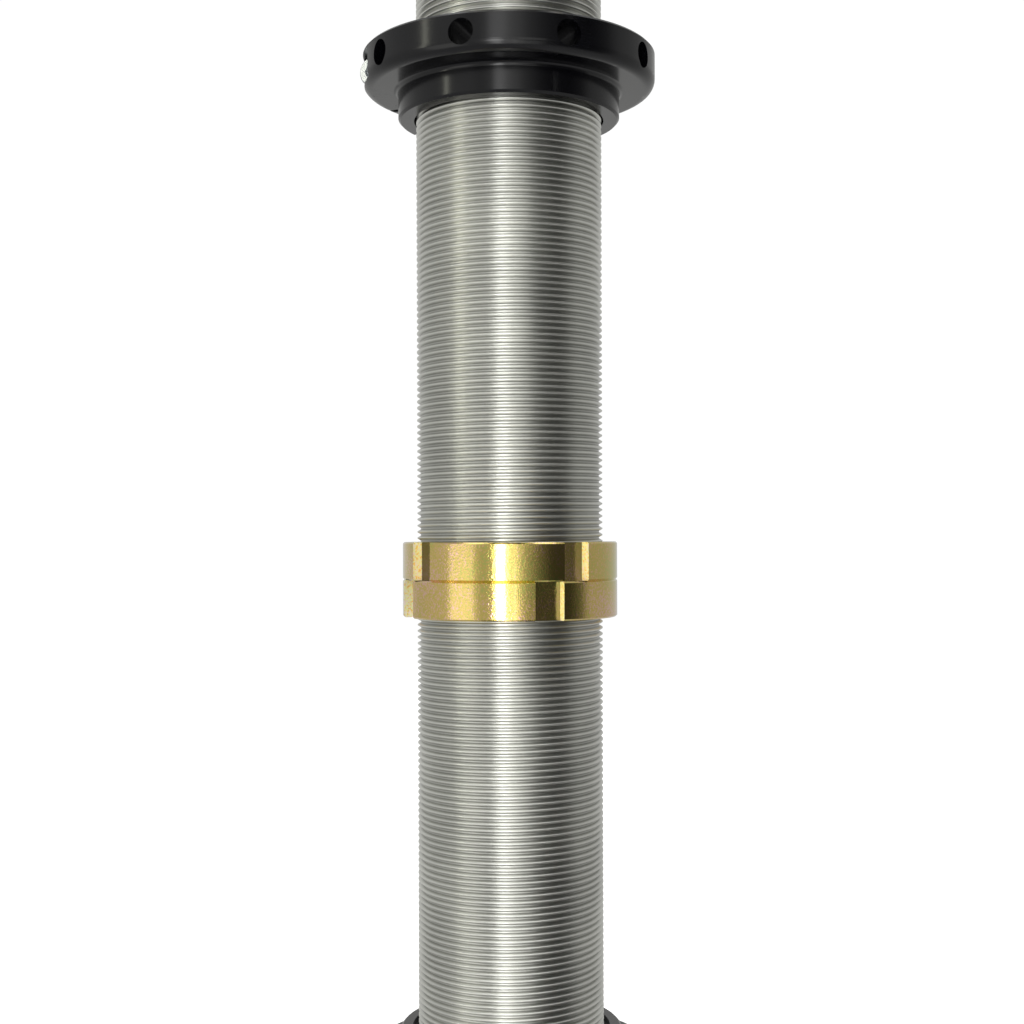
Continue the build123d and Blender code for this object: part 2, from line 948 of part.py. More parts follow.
# Heights of the slider, which rests on the lower cap
slider_seat_low = cap_top + slider_low_pilot
slider_seat_top = slider_seat_low + slider_flange
slider_top = slider_seat_top + slider_top_pilot
liner_r = tube_r + liner_gap
liner_top = slider_top - slider_lip
liner_low = liner_top - liner_length
liner_ring_low = liner_low - liner_ring_thick


def slider_body():
    pocket = liner_r + liner_wall
    groove = pocket + liner_ring_depth
    lip = tube_r + slider_lip_gap
    return turned(
        [
            (lip, slider_top),
            (pilot_r, slider_top),
            (pilot_r, slider_seat_top),
            (flange_r, slider_seat_top),
            (flange_r, slider_seat_low),
            (pilot_r, slider_seat_low),
            (pilot_r, cap_top),
            (pocket, cap_top),
            (pocket, liner_ring_low),
            (groove, liner_ring_low),
            (groove, liner_low),
            (pocket, liner_low),
            (pocket, liner_top),
            (lip, liner_top),
        ],
        rounds=[
            ((flange_r, slider_seat_low), slider_rim_fillet),
            ((flange_r, slider_seat_top), slider_rim_fillet),
            ((pilot_r, slider_seat_low), pilot_fillet),
            ((pilot_r, slider_seat_top), pilot_fillet),
        ],
        bevels=spring_pilot_bevels((pilot_r, slider_top), (pilot_r, cap_top)),
    )


def slider_liner():
    return ring(liner_r + liner_wall, liner_r, liner_low, liner_top)


def slider_ring():
    outer = liner_r + liner_wall + liner_ring_depth
    return open_ring(outer, outer - liner_ring_width, liner_ring_low, liner_low, clip_mouth)


nodes = {
    "cylinder_tube": cylinder_tube(),
    "top_cap": top_cap(),
    "top_cap_oring": top_cap_oring(),
    "charge_valve": charge_valve(),
    "valve_core": valve_core(),
    "valve_cap": valve_cap(),
    "upper_bearing_race": bearing_race(),
    "upper_bearing_clips": bearing_clips(),
    "upper_ball": bearing_ball(),
    "upper_spacers": bearing_spacers(),
    "seal_head": seal_head(),
    "seal_head_oring": seal_head_oring(),
    "seal_head_ring": seal_head_ring(),
    "guide_bushing": guide_bushing(),
    "rod_seal": rod_seal(),
    "rod_wiper": rod_wiper(),
    "lower_cap": lower_cap(),
    "floating_piston": floating_piston(),
    "floating_piston_band": floating_piston_band(),
    "floating_piston_oring": floating_piston_oring(),
    "bleed_screw": bleed_screw(),
    "piston_rod": piston_rod(),
    "piston": piston(),
    "piston_band": piston_band(),
    "piston_oring": piston_oring(),
    "compression_shims": compression_shims(),
    "rebound_shims": rebound_shims(),
    "shim_washers": shim_washers(),
    "piston_nut": piston_nut(),
    "top_out_spacer": top_out_spacer(),
    "bump_stop": bump_stop(),
    "bump_stop_cup": bump_stop_cup(),
    "lower_eyelet": lower_eyelet(),
    "lower_perch": lower_perch(),
    "lower_bearing_race": Pos(0, 0, lower_eye) * bearing_race(),
    "lower_bearing_clips": Pos(0, 0, lower_eye) * bearing_clips(),
    "lower_ball": Pos(0, 0, lower_eye) * bearing_ball(),
    "lower_spacers": Pos(0, 0, lower_eye) * bearing_spacers(),
    "preload_nut": preload_nut(),
    "pinch_screw": pinch_screw(),
    "stop_ring_upper": stop_ring_upper(),
    "stop_ring_lower": stop_ring_lower(),
    "slider_body": slider_body(),
    "slider_liner": slider_liner(),
    "slider_ring": slider_ring(),
}

os.makedirs("parts", exist_ok=True)
for name, shape in nodes.items():
    export_step(shape, f"parts/{name}.step")
print(f"eye to eye {-lower_eye:.1f} extended, {-lower_eye - travel:.1f} compressed")
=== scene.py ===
# Threaded-body coilover damper: its studio, its finishes, and the pieces whose real form is finer
# than their solids: the body thread, the seals, the bump stop and the grip of the clamp screw.
import json
import math
import bmesh
import bpy
from mathutils import Matrix, Vector


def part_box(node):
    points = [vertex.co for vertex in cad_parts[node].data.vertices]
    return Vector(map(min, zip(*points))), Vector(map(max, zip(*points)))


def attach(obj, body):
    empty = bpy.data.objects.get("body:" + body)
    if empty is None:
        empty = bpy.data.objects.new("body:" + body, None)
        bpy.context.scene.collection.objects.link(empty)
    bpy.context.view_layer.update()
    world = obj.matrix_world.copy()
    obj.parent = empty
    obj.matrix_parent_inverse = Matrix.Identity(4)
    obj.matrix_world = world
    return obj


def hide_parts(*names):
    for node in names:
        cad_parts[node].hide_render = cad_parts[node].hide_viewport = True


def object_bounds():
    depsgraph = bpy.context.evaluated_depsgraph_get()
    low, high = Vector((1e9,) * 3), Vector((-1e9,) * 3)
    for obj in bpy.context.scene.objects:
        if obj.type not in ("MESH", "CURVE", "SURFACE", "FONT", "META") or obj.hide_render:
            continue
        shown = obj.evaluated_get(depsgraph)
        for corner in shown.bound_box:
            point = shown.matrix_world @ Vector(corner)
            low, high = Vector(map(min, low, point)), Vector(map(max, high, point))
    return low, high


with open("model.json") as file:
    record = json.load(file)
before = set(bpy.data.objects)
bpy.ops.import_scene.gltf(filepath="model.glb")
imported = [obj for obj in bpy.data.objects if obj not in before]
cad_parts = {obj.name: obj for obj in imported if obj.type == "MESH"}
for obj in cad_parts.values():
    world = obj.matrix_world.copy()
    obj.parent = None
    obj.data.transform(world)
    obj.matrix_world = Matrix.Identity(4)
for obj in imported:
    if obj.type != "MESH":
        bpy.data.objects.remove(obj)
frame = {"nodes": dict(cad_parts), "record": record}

cadBox = [list(corner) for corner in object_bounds()]
nodes = frame["nodes"]
record = frame["record"]
mm = 0.001
print("frame loaded:", len(nodes), "nodes")

view = {
    "lens": 54.25,       # mm
    "sensor": 36,        # mm across
    "nearest": 0.02,     # m, where the camera starts to see
    "distance": 530,     # mm from the axis
    "height": -292,      # mm, level with the middle of the photograph
    "sideStep": 0.7,     # mm
    "roll": 0.17,        # degrees
    "rise": 0.0176,      # share of the frame
}


def makeCamera():
    data = bpy.data.cameras.new("photoCamera")
    data.lens = view["lens"]
    data.sensor_width = view["sensor"]
    data.shift_y = view["rise"]
    data.clip_start = view["nearest"]
    camera = bpy.data.objects.new("photoCamera", data)
    camera.location = (view["sideStep"] * mm, -view["distance"] * mm, view["height"] * mm)
    camera.rotation_euler = (math.radians(90), math.radians(view["roll"]), 0)
    bpy.context.scene.collection.objects.link(camera)
    bpy.context.scene.camera = camera


makeCamera()

# Angles in degrees run round the axis from the camera, towards the right of the picture.
studio = {
    "lights": {          # low and high are the ends of a light in mm
        "leftStrip": {"angle": -65.5, "span": 3, "low": -200, "high": 900, "radiance": 5.6,
                      "colour": (1.0, 1.0, 0.84)},
        "leftPanel": {"angle": -52, "span": 28, "low": -1300, "high": -285, "radiance": 0.58,
                      "colour": (1.0, 0.99, 0.94)},
        "frontStripLow": {"angle": -9.5, "span": 8, "low": -1400, "high": -430, "radiance": 3.7,
                          "colour": (1.0, 1.0, 1.0)},
        "frontStripMiddle": {"angle": -9.8, "span": 10, "low": -430, "high": -270, "radiance": 8.5,
                             "colour": (1.0, 1.0, 1.0)},
        "frontStripHigh": {"angle": -9.5, "span": 8, "low": -270, "high": 190, "radiance": 3.2,
                           "colour": (1.0, 1.0, 1.0)},
        "frontStripTop": {"angle": -8.5, "span": 13, "low": 190, "high": 430, "radiance": 1.1,
                          "colour": (1.0, 1.0, 1.0)},
        "frontPanel": {"angle": 0, "span": 7, "low": -1400, "high": 900, "radiance": 0.35,
                       "colour": (1.0, 0.99, 0.97)},
        "frontEdge": {"angle": 5, "span": 2.5, "low": -1400, "high": -330, "radiance": 1.7,
                      "colour": (1.0, 0.98, 0.94)},
        "sideFillLow": {"angle": 17, "span": 20, "low": -1400, "high": -480, "radiance": 0.46,
                        "colour": (1.0, 1.0, 0.98)},
        "sideFillHigh": {"angle": 17, "span": 20, "low": -220, "high": 120, "radiance": 0.62,
                         "colour": (1.0, 1.0, 0.98)},
        "rightSlit": {"angle": 48, "span": 0.35, "low": 100, "high": 700, "radiance": 3.0,
                      "colour": (1.0, 1.0, 1.0)},
    },
    "reach": 1.3,        # m from the axis to a light
    "topRadiance": 1.2,
    "topSize": 1.6,      # m
    "topRise": 1.9,      # m over the middle of the object
    "floorGap": 1.5,     # mm under the object
    "floorSize": 6.0,    # m
    "floorColour": (0.86, 0.86, 0.85),
    "floorRough": 0.9,
    "floorGlow": (0.85, 0.85, 0.85),
    "backdrop": 1.02,    # brightness that the camera sees behind the object
    "wallBlue": 0.98,    # share of blue in the walls' grey
    "fadeStart": 0.55,   # m from the axis, where the floor starts to fade to white
    "fadeEnd": 1.25,
    "room": [            # angle and brightness of the walls that the metal mirrors
        (-180, 0.62), (-150, 0.55), (-110, 0.46), (-80, 0.52), (-50, 0.64), (-37, 0.62), (-29, 0.46),
        (-20, 0.56), (-4, 0.90), (8, 1.00), (14, 0.52), (22, 0.30), (32, 0.14), (44, 0.045), (66, 0.035),
        (80, 0.12), (92, 0.38), (120, 0.40), (150, 0.48), (180, 0.62),
    ],
    "ceiling": 0.46,     # brightness overhead and underfoot
    "ceilingStart": 0.50,  # sine of the height where the walls start to turn into it
    "ceilingEnd": 0.85,
}


def makeLight(name, spec):
    width = 2 * studio["reach"] * math.tan(math.radians(spec["span"] / 2))
    tall = (spec["high"] - spec["low"]) * mm
    data = bpy.data.lights.new(name, "AREA")
    data.shape = "RECTANGLE"
    data.size = width
    data.size_y = tall
    data.energy = spec["radiance"] * math.pi * width * tall
    data.color = spec["colour"]
    light = bpy.data.objects.new(name, data)
    turn = math.radians(spec["angle"])
    middle = (spec["high"] + spec["low"]) / 2 * mm
    light.location = (studio["reach"] * math.sin(turn), -studio["reach"] * math.cos(turn), middle)
    light.rotation_euler = (math.radians(90), 0, turn)
    light.visible_camera = False
    bpy.context.scene.collection.objects.link(light)


def makeTopLight(centre):
    data = bpy.data.lights.new("topPanel", "AREA")
    data.shape = "SQUARE"
    data.size = studio["topSize"]
    data.energy = studio["topRadiance"] * math.pi * data.size ** 2
    light = bpy.data.objects.new("topPanel", data)
    light.location = (0, 0, centre + studio["topRise"])
    light.visible_camera = False
    bpy.context.scene.collection.objects.link(light)


def makeRoom():
    # White behind the object, and walls of uneven grey where the metal mirrors them.
    world = bpy.data.worlds.new("studioRoom")
    bpy.context.scene.world = world
    world.use_nodes = True
    tree = world.node_tree
    tree.nodes.clear()
    out = tree.nodes.new("ShaderNodeOutputWorld")
    mix = tree.nodes.new("ShaderNodeMixShader")
    white = tree.nodes.new("ShaderNodeBackground")
    grey = tree.nodes.new("ShaderNodeBackground")
    path = tree.nodes.new("ShaderNodeLightPath")
    place = tree.nodes.new("ShaderNodeTexCoord")
    split = tree.nodes.new("ShaderNodeSeparateXYZ")
    angle = tree.nodes.new("ShaderNodeMath")
    turned = tree.nodes.new("ShaderNodeMath")
    scaled = tree.nodes.new("ShaderNodeMapRange")
    ramp = tree.nodes.new("ShaderNodeValToRGB")
    angle.operation = "ARCTAN2"
    turned.operation = "MULTIPLY"
    turned.inputs[1].default_value = -1
    white.inputs["Color"].default_value = (1, 1, 1, 1)
    white.inputs["Strength"].default_value = studio["backdrop"]
    link = tree.links.new
    link(place.outputs["Generated"], split.inputs[0])
    link(split.outputs["Y"], turned.inputs[0])
    link(split.outputs["X"], angle.inputs[0])
    link(turned.outputs[0], angle.inputs[1])
    link(angle.outputs[0], scaled.inputs["Value"])
    scaled.inputs["From Min"].default_value = -math.pi
    scaled.inputs["From Max"].default_value = math.pi
    link(scaled.outputs[0], ramp.inputs[0])
    lift = tree.nodes.new("ShaderNodeMath")
    lift.operation = "ABSOLUTE"
    over = tree.nodes.new("ShaderNodeMapRange")
    over.interpolation_type = "SMOOTHSTEP"
    over.inputs["From Min"].default_value = studio["ceilingStart"]
    over.inputs["From Max"].default_value = studio["ceilingEnd"]
    tint = tree.nodes.new("ShaderNodeMix")
    tint.data_type = "RGBA"
    tint.inputs[7].default_value = (studio["ceiling"], studio["ceiling"], studio["ceiling"], 1)
    link(split.outputs["Z"], lift.inputs[0])
    link(lift.outputs[0], over.inputs["Value"])
    link(over.outputs[0], tint.inputs[0])
    link(ramp.outputs[0], tint.inputs[6])
    link(tint.outputs[2], grey.inputs["Color"])
    while len(ramp.color_ramp.elements) < len(studio["room"]):
        ramp.color_ramp.elements.new(0.5)
    for element, (degrees, tone) in zip(ramp.color_ramp.elements, studio["room"]):
        element.position = (degrees + 180) / 360
        element.color = (tone, tone, tone * studio["wallBlue"], 1)
    link(path.outputs["Is Camera Ray"], mix.inputs[0])
    link(grey.outputs[0], mix.inputs[1])
    link(white.outputs[0], mix.inputs[2])
    link(mix.outputs[0], out.inputs["Surface"])


def makeFloor(height):
    mesh = bpy.data.meshes.new("studioFloor")
    shape = bmesh.new()
    bmesh.ops.create_circle(shape, cap_ends=True, segments=96, radius=studio["floorSize"])
    bmesh.ops.translate(shape, verts=shape.verts, vec=(0, 0, height))
    shape.to_mesh(mesh)
    shape.free()
    floor = bpy.data.objects.new("studioFloor", mesh)
    bpy.context.scene.collection.objects.link(floor)
    paint = bpy.data.materials.new("floorPaint")
    paint.use_nodes = True
    tree = paint.node_tree
    bsdf = tree.nodes["Principled BSDF"]
    place = tree.nodes.new("ShaderNodeTexCoord")
    flat = tree.nodes.new("ShaderNodeVectorMath")
    flat.operation = "LENGTH"
    fade = tree.nodes.new("ShaderNodeMapRange")
    fade.interpolation_type = "SMOOTHSTEP"
    fade.inputs["From Min"].default_value = studio["fadeStart"]
    fade.inputs["From Max"].default_value = studio["fadeEnd"]
    cut = tree.nodes.new("ShaderNodeVectorMath")
    cut.operation = "MULTIPLY"
    cut.inputs[1].default_value = (1, 1, 0)
    tree.links.new(place.outputs["Object"], cut.inputs[0])
    tree.links.new(cut.outputs[0], flat.inputs[0])
    tree.links.new(flat.outputs["Value"], fade.inputs["Value"])
    tree.links.new(fade.outputs[0], bsdf.inputs["Emission Strength"])
    bsdf.inputs["Base Color"].default_value = (*studio["floorColour"], 1)
    bsdf.inputs["Roughness"].default_value = studio["floorRough"]
    bsdf.inputs["Emission Color"].default_value = (*studio["floorGlow"], 1)
    mesh.materials.append(paint)
    floor.visible_glossy = False  # the metal mirrors the walls down to the ground, as in the photograph


middle = (cadBox[0][2] + cadBox[1][2]) / 2
for lightName, lightSpec in studio["lights"].items():
    makeLight(lightName, lightSpec)
makeTopLight(middle)
makeRoom()
makeFloor(cadBox[0][2] - studio["floorGap"] * mm)
bpy.context.scene.view_settings.view_transform = "Standard"
print("studio ready")


weldReach = 0.00001      # m within which vertices are joined
sharpAngles = {"thread": 40, "sealRing": 60, "lathed": 50, "grip": 30}  # degrees where shading breaks


def sizeOf(nodeName):
    # A node's reach along X, its ends along Z and their middle, in millimetres. A piece turned
    # about Z reaches as far as its outer radius.
    lowCorner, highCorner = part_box(nodeName)
    radius, low, high = (round(value / mm, 4) for value in (highCorner.x, lowCorner.z, highCorner.z))
    return {"radius": radius, "low": low, "high": high, "middle": (low + high) / 2}


def newObject(name, mesh):
    piece = bpy.data.objects.new(name, mesh)
    bpy.context.scene.collection.objects.link(piece)
    return piece


def smoothShade(mesh, degrees):
    mesh.polygons.foreach_set("use_smooth", [True] * len(mesh.polygons))
    mesh.set_sharp_from_angle(angle=math.radians(degrees))
    mesh.update()


def latheRings(shape, profile, segments, closed=False):
    # Rings of vertices about Z for each (radius, height) in millimetres, joined into quads.
    rings = []
    for radius, height in profile:
        ring = []
        for step in range(segments):
            turn = 2 * math.pi * step / segments
            place = Vector((radius * math.cos(turn), radius * math.sin(turn), height))
            ring.append(shape.verts.new(place * mm))
        rings.append(ring)
    pairs = list(zip(rings, rings[1:]))
    if closed:
        pairs.append((rings[-1], rings[0]))
    for low, high in pairs:
        for step in range(segments):
            after = (step + 1) % segments
            shape.faces.new((low[step], low[after], high[after], high[step]))


def closeMesh(mesh, shape, sharp):
    # Joins doubles, turns the faces outwards, shades and counts the edges left open.
    bmesh.ops.remove_doubles(shape, verts=shape.verts, dist=weldReach)
    bmesh.ops.recalc_face_normals(shape, faces=shape.faces)
    shape.to_mesh(mesh)
    openEdges = sum(1 for edge in shape.edges if not edge.is_manifold)
    shape.free()
    smoothShade(mesh, sharp)
    return openEdges


def finishPiece(name, mesh, body, replaced=None):
    piece = newObject(name, mesh)
    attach(piece, body)
    if replaced:
        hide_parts(replaced)
    return piece


def newTree(name, sizes):
    # A Geometry Nodes tree with one float or whole-number input for each size.
    tree = bpy.data.node_groups.new(name, "GeometryNodeTree")
    tree.interface.new_socket("Geometry", in_out="INPUT", socket_type="NodeSocketGeometry")
    for label, value in sizes.items():
        kind = "NodeSocketInt" if isinstance(value, int) else "NodeSocketFloat"
        tree.interface.new_socket(label, in_out="INPUT", socket_type=kind).default_value = value
    tree.interface.new_socket("Material", in_out="INPUT", socket_type="NodeSocketMaterial")
    tree.interface.new_socket("Geometry", in_out="OUTPUT", socket_type="NodeSocketGeometry")
    return tree, tree.nodes.new("NodeGroupInput"), tree.nodes.new("NodeGroupOutput")


def mathNode(tree, operation, first, second=None, third=None):
    node = tree.nodes.new("ShaderNodeMath")
    node.operation = operation
    for socket, value in zip(node.inputs, (first, second, third)):
        if value is None:
            continue
        if isinstance(value, (int, float)):
            socket.default_value = value
        else:
            tree.links.new(value, socket)
    return node.outputs[0]


def vectorNode(tree, operation, first, second=None, scale=None, output="Vector"):
    node = tree.nodes.new("ShaderNodeVectorMath")
    node.operation = operation
    tree.links.new(first, node.inputs[0])
    if isinstance(second, tuple):
        node.inputs[1].default_value = second
    elif second is not None:
        tree.links.new(second, node.inputs[1])
    if isinstance(scale, float):
        node.inputs["Scale"].default_value = scale
    elif scale is not None:
        tree.links.new(scale, node.inputs["Scale"])
    return node.outputs[output]


def rolledSheet(tree, across, along):
    # A grid whose columns and rows are whole numbers, ready to be rolled up.
    sheet = tree.nodes.new("GeometryNodeMeshGrid")
    sheet.inputs["Size X"].default_value = 1
    sheet.inputs["Size Y"].default_value = 1
    tree.links.new(mathNode(tree, "ADD", across, 1), sheet.inputs["Vertices X"])
    tree.links.new(mathNode(tree, "ADD", along, 1), sheet.inputs["Vertices Y"])
    where = tree.nodes.new("GeometryNodeInputPosition")
    split = tree.nodes.new("ShaderNodeSeparateXYZ")
    tree.links.new(where.outputs[0], split.inputs[0])
    counts = []
    for axis, total in ((0, across), (1, along)):
        share = mathNode(tree, "ADD", split.outputs[axis], 0.5)
        counts.append(mathNode(tree, "ROUND", mathNode(tree, "MULTIPLY", share, total)))
    return sheet.outputs["Mesh"], counts[0], counts[1]


def placeRound(tree, sheet, radius, angle, height):
    # Moves a sheet to cylindrical places given in millimetres and joins its edges.
    join = tree.nodes.new("ShaderNodeCombineXYZ")
    tree.links.new(mathNode(tree, "MULTIPLY", radius, mathNode(tree, "COSINE", angle)), join.inputs[0])
    tree.links.new(mathNode(tree, "MULTIPLY", radius, mathNode(tree, "SINE", angle)), join.inputs[1])
    tree.links.new(height, join.inputs[2])
    metres = vectorNode(tree, "SCALE", join.outputs[0], scale=mm)
    move = tree.nodes.new("GeometryNodeSetPosition")
    tree.links.new(sheet, move.inputs["Geometry"])
    tree.links.new(metres, move.inputs["Position"])
    weld = tree.nodes.new("GeometryNodeMergeByDistance")
    weld.inputs["Distance"].default_value = weldReach
    tree.links.new(move.outputs[0], weld.inputs["Geometry"])
    return weld.outputs[0]


def endTree(tree, source, given, out):
    realize = tree.nodes.new("GeometryNodeRealizeInstances")
    paint = tree.nodes.new("GeometryNodeSetMaterial")
    tree.links.new(source, realize.inputs[0])
    tree.links.new(realize.outputs[0], paint.inputs["Geometry"])
    tree.links.new(given.outputs["Material"], paint.inputs["Material"])
    tree.links.new(paint.outputs[0], out.inputs[0])


def bakeTree(name, tree, sizes, material):
    # Runs a tree with its sizes on an empty mesh and gives back the plain result.
    carrier = newObject(name + "Carrier", bpy.data.meshes.new(name + "Carrier"))
    modifier = carrier.modifiers.new("build", "NODES")
    modifier.node_group = tree
    for item in tree.interface.items_tree:
        if item.in_out == "INPUT" and item.name in sizes:
            modifier[item.identifier] = sizes[item.name]
        elif item.in_out == "INPUT" and item.name == "Material":
            modifier[item.identifier] = material
    bpy.context.view_layer.update()
    graph = bpy.context.evaluated_depsgraph_get()
    mesh = bpy.data.meshes.new_from_object(carrier.evaluated_get(graph))
    mesh.name = name
    carrier.modifiers.clear()
    bpy.data.objects.remove(carrier)
    return mesh


def newShaderGroup(name, inputs, outputs):
    group = bpy.data.node_groups.new(name, "ShaderNodeTree")
    for label, value in inputs.items():
        kind = "NodeSocketVector" if value is None else "NodeSocketFloat"
        socket = group.interface.new_socket(label, in_out="INPUT", socket_type=kind)
        if value is not None:
            socket.default_value = value
    for label in outputs:
        group.interface.new_socket(label, in_out="OUTPUT", socket_type="NodeSocketFloat")
    return group, group.nodes.new("NodeGroupInput"), group.nodes.new("NodeGroupOutput")


def latheGroup():
    # Fine rings that a lathe leaves round Z, on the sides as on the faces.
    sizes = {"Vector": None, "Density": 900.0, "Spread": 0.5}
    group, given, out = newShaderGroup("latheMarks", sizes, ["Marks"])
    link = group.links.new
    split = group.nodes.new("ShaderNodeSeparateXYZ")
    join = group.nodes.new("ShaderNodeCombineXYZ")
    noise = group.nodes.new("ShaderNodeTexNoise")
    link(given.outputs["Vector"], split.inputs[0])
    squareX = mathNode(group, "MULTIPLY", split.outputs[0], split.outputs[0])
    squareY = mathNode(group, "MULTIPLY", split.outputs[1], split.outputs[1])
    radius = mathNode(group, "SQRT", mathNode(group, "ADD", squareX, squareY))
    link(radius, join.inputs[0])
    link(split.outputs[2], join.inputs[2])
    link(join.outputs[0], noise.inputs["Vector"])
    link(given.outputs["Density"], noise.inputs["Scale"])
    noise.inputs["Detail"].default_value = 3
    noise.inputs["Roughness"].default_value = 0.7
    centred = mathNode(group, "SUBTRACT", noise.outputs["Fac"], 0.5)
    link(mathNode(group, "MULTIPLY_ADD", centred, given.outputs["Spread"], 0.5), out.inputs["Marks"])
    return group


def cloudGroup():
    # Slow, uneven tone, as plating and handled metal have.
    sizes = {"Vector": None, "Size": 60.0, "Contrast": 1.0}
    group, given, out = newShaderGroup("cloudTone", sizes, ["Tone"])
    link = group.links.new
    noise = group.nodes.new("ShaderNodeTexNoise")
    noise.inputs["Detail"].default_value = 4
    noise.inputs["Distortion"].default_value = 0.4
    link(given.outputs["Vector"], noise.inputs["Vector"])
    link(given.outputs["Size"], noise.inputs["Scale"])
    centred = mathNode(group, "SUBTRACT", noise.outputs["Fac"], 0.5)
    tone = mathNode(group, "MULTIPLY_ADD", centred, given.outputs["Contrast"], 0.5)
    clamp = group.nodes.new("ShaderNodeClamp")
    link(tone, clamp.inputs[0])
    link(clamp.outputs[0], out.inputs["Tone"])
    return group


scratchMarks = {
    "runs": [((0.5, 0.4, 0.35), 14.0), ((-1.1, 0.4, -0.77), 9.0)],  # rotation in radians, and stretch
    "width": 0.004,      # share of the noise's range that a scratch takes up
    "patches": 0.25,     # density of the noise that groups them, against their own
    "rarity": 0.75,      # the higher it is, the fewer patches have scratches
}


def scratchGroup():
    # Thin scratches in two directions, where a slower noise lets them show.
    sizes = {"Vector": None, "Density": 90.0, "Amount": 0.3}
    group, given, out = newShaderGroup("scratches", sizes, ["Mask"])
    link = group.links.new
    masks = []
    for rotation, stretch in scratchMarks["runs"]:
        place = group.nodes.new("ShaderNodeMapping")
        place.inputs["Rotation"].default_value = rotation
        place.inputs["Scale"].default_value = (1, 1, stretch)
        noise = group.nodes.new("ShaderNodeTexNoise")
        noise.inputs["Detail"].default_value = 2
        link(given.outputs["Vector"], place.inputs["Vector"])
        link(place.outputs[0], noise.inputs["Vector"])
        link(given.outputs["Density"], noise.inputs["Scale"])
        off = mathNode(group, "ABSOLUTE", mathNode(group, "SUBTRACT", noise.outputs["Fac"], 0.5))
        masks.append(mathNode(group, "LESS_THAN", off, scratchMarks["width"]))
    both = mathNode(group, "MAXIMUM", masks[0], masks[1])
    patch = group.nodes.new("ShaderNodeTexNoise")
    link(given.outputs["Vector"], patch.inputs["Vector"])
    slower = mathNode(group, "MULTIPLY", given.outputs["Density"], scratchMarks["patches"])
    link(slower, patch.inputs["Scale"])
    least = mathNode(group, "SUBTRACT", scratchMarks["rarity"], given.outputs["Amount"])
    where = mathNode(group, "GREATER_THAN", patch.outputs["Fac"], least)
    link(mathNode(group, "MULTIPLY", both, where), out.inputs["Mask"])
    return group


cutWallSlope = 0.35      # below this, a face counts as a radial wall


def cutWallGroup():
    # One where a face stands radially, as the walls of a milled notch do, and nought elsewhere.
    group, given, out = newShaderGroup("cutWalls", {"Vector": None, "Normal": None}, ["Mask"])
    link = group.links.new
    flat = vectorNode(group, "MULTIPLY", given.outputs["Vector"], (1, 1, 0))
    unit = vectorNode(group, "NORMALIZE", flat)
    along = vectorNode(group, "DOT_PRODUCT", unit, given.outputs["Normal"], output="Value")
    split = group.nodes.new("ShaderNodeSeparateXYZ")
    link(given.outputs["Normal"], split.inputs[0])
    outward = mathNode(group, "ABSOLUTE", along)
    upward = mathNode(group, "ABSOLUTE", split.outputs[2])
    slope = mathNode(group, "ADD", outward, upward)
    link(mathNode(group, "LESS_THAN", slope, cutWallSlope), out.inputs["Mask"])
    return group


latheMarks = latheGroup()
cloudTone = cloudGroup()
scratches = scratchGroup()
cutWalls = cutWallGroup()


def newMaterial(name):
    material = bpy.data.materials.new(name)
    material.use_nodes = True
    return material, material.node_tree, material.node_tree.nodes["Principled BSDF"]


def objectPlace(tree, location=(0, 0, 0), rotation=(0, 0, 0)):
    coordinates = tree.nodes.new("ShaderNodeTexCoord")
    place = tree.nodes.new("ShaderNodeMapping")
    place.inputs["Location"].default_value = location
    place.inputs["Rotation"].default_value = rotation
    tree.links.new(coordinates.outputs["Object"], place.inputs["Vector"])
    return place.outputs[0]


def useGroup(tree, group, place, **values):
    node = tree.nodes.new("ShaderNodeGroup")
    node.node_tree = group
    tree.links.new(place, node.inputs["Vector"])
    for label, value in values.items():
        node.inputs[label].default_value = value
    return node.outputs[0]


def colourRamp(tree, factor, stops):
    ramp = tree.nodes.new("ShaderNodeValToRGB")
    while len(ramp.color_ramp.elements) < len(stops):
        ramp.color_ramp.elements.new(0.5)
    for element, (position, colour) in zip(ramp.color_ramp.elements, stops):
        element.position = position
        element.color = (*colour, 1)
    tree.links.new(factor, ramp.inputs[0])
    return ramp.outputs[0]


def spread(tree, factor, low, high):
    # Carries a value of 0..1 to low..high.
    return mathNode(tree, "MULTIPLY_ADD", factor, high - low, low)


def bump(tree, bsdf, height, strength, distance):
    node = tree.nodes.new("ShaderNodeBump")
    node.inputs["Strength"].default_value = strength
    node.inputs["Distance"].default_value = distance
    tree.links.new(height, node.inputs["Height"])
    tree.links.new(node.outputs[0], bsdf.inputs["Normal"])


def radiusDarkening(tree, place, colour, radiusTone):
    # Darker towards the thread roots, full colour at the crests: follows the distance from the axis.
    radius = vectorNode(tree, "LENGTH", vectorNode(tree, "MULTIPLY", place, (1, 1, 0)), output="Value")
    bright = tree.nodes.new("ShaderNodeMapRange")
    bright.inputs["From Min"].default_value = radiusTone["root"] * mm
    bright.inputs["From Max"].default_value = radiusTone["crest"] * mm
    bright.inputs["To Min"].default_value = radiusTone["darkest"]
    tree.links.new(radius, bright.inputs["Value"])
    return vectorNode(tree, "SCALE", colour, scale=bright.outputs[0])


